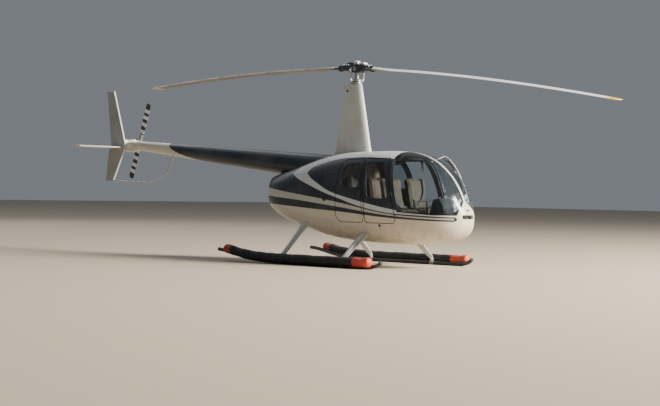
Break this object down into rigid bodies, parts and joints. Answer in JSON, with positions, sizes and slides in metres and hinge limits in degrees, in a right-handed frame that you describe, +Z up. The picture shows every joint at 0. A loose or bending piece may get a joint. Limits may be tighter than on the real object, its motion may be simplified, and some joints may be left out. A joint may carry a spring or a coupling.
{
  "type": "helicopter",
  "caption": "Light piston helicopter on skids with packed floats, a teetering main rotor, a tail rotor, hinged cabin doors and a furnished cabin.",
  "frame": {"origin": "middle of the length and width, on the ground under the skids", "axes": "+X towards the nose, +Y to the left side, +Z up"},
  "size_m": [11.3119, 2.506, 3.2807],
  "materials": {
    "cream_paint": "gloss cream white paint",
    "slate_paint": "gloss dark slate blue paint",
    "silver_paint": "satin light silver paint",
    "tinted_acrylic": "clear, lightly tinted",
    "bare_metal": "satin",
    "black_paint": "satin black paint",
    "float_cover": "coated cloth",
    "seat_leather": "soft matt",
    "interior_trim": "matt",
    "engine_casting": "rough cast"
  },
  "bodies": {
    "airframe": {"cabin_tub": "cream_paint", "cabin_roof": "silver_paint", "landing_light_lens": "tinted_acrylic", "landing_gear_front": "silver_paint", "landing_gear_rear": "silver_paint", "windscreen_strip": "silver_paint", "windscreen_right": "tinted_acrylic", "windscreen_left": "tinted_acrylic", "cabin_floor": "interior_trim", "firewall": "interior_trim", "seat_box_front": "interior_trim", "seat_box_rear": "interior_trim", "seat_front_right": "seat_leather", "seat_front_left": "seat_leather", "seat_rear_right": "seat_leather", "seat_rear_left": "seat_leather", "instrument_console": "interior_trim", "cyclic_stick": "black_paint", "rudder_pedals": "black_paint", "tail_cone": "slate_paint", "cowl_top": "silver_paint", "cowl_belly": "cream_paint", "cowl_right": "slate_paint", "cowl_left": "slate_paint", "engine_block": "engine_casting", "exhaust_pipe": "bare_metal", "fan_housing": "silver_paint", "mast_fairing": "silver_paint", "swashplate_lower": "bare_metal", "tail_fin": "silver_paint", "stabiliser": "cream_paint", "tail_gearbox": "cream_paint", "tail_rotor_guard": "bare_metal", "skid_tube_right": "black_paint", "float_pack_right": "float_cover", "skid_tube_left": "black_paint", "float_pack_left": "float_cover"},
    "main_rotor": {"rotor_mast": "bare_metal", "swashplate_upper": "bare_metal", "rotor_hub": "black_paint", "rotor_blade_forward": "black_paint", "rotor_blade_aft": "black_paint"},
    "tail_rotor": {"tail_rotor_hub": "bare_metal", "tail_rotor_blade_upper": "black_paint", "tail_rotor_blade_lower": "black_paint"},
    "door_front_right": {"door_front_right": "slate_paint", "door_pane_front_right": "tinted_acrylic"},
    "door_front_left": {"door_front_left": "slate_paint", "door_pane_front_left": "tinted_acrylic"},
    "door_rear_right": {"door_rear_right": "slate_paint", "door_pane_rear_right": "tinted_acrylic"},
    "door_rear_left": {"door_rear_left": "slate_paint", "door_pane_rear_left": "tinted_acrylic"}
  },
  "joints": [
    {"name": "main_rotor_spin", "type": "hinge", "parent": "airframe", "child": "main_rotor", "pos_m": [0.64, 0, 3.155], "axis": [0, 0, 1], "continuous": true},
    {"name": "tail_rotor_spin", "type": "hinge", "parent": "airframe", "child": "tail_rotor", "pos_m": [-5.25, 0.38, 2.051], "axis": [0, 1, 0], "continuous": true},
    {"name": "front_right_door_swing", "type": "hinge", "parent": "airframe", "child": "door_front_right", "pos_m": [2.06, -0.62, 0.795], "axis": [-0.2756, 0, 0.9613], "range_deg": [0, 92]},
    {"name": "front_left_door_swing", "type": "hinge", "parent": "airframe", "child": "door_front_left", "pos_m": [2.06, 0.62, 0.795], "axis": [0.2756, 0, -0.9613], "range_deg": [-92, 0]},
    {"name": "rear_right_door_swing", "type": "hinge", "parent": "airframe", "child": "door_rear_right", "pos_m": [1.41, -0.652, 0.795], "axis": [-0.1392, 0.0173, 0.9901], "range_deg": [0, 80]},
    {"name": "rear_left_door_swing", "type": "hinge", "parent": "airframe", "child": "door_rear_left", "pos_m": [1.41, 0.652, 0.795], "axis": [0.1392, 0.0173, -0.9901], "range_deg": [0, 80]}
  ]
}
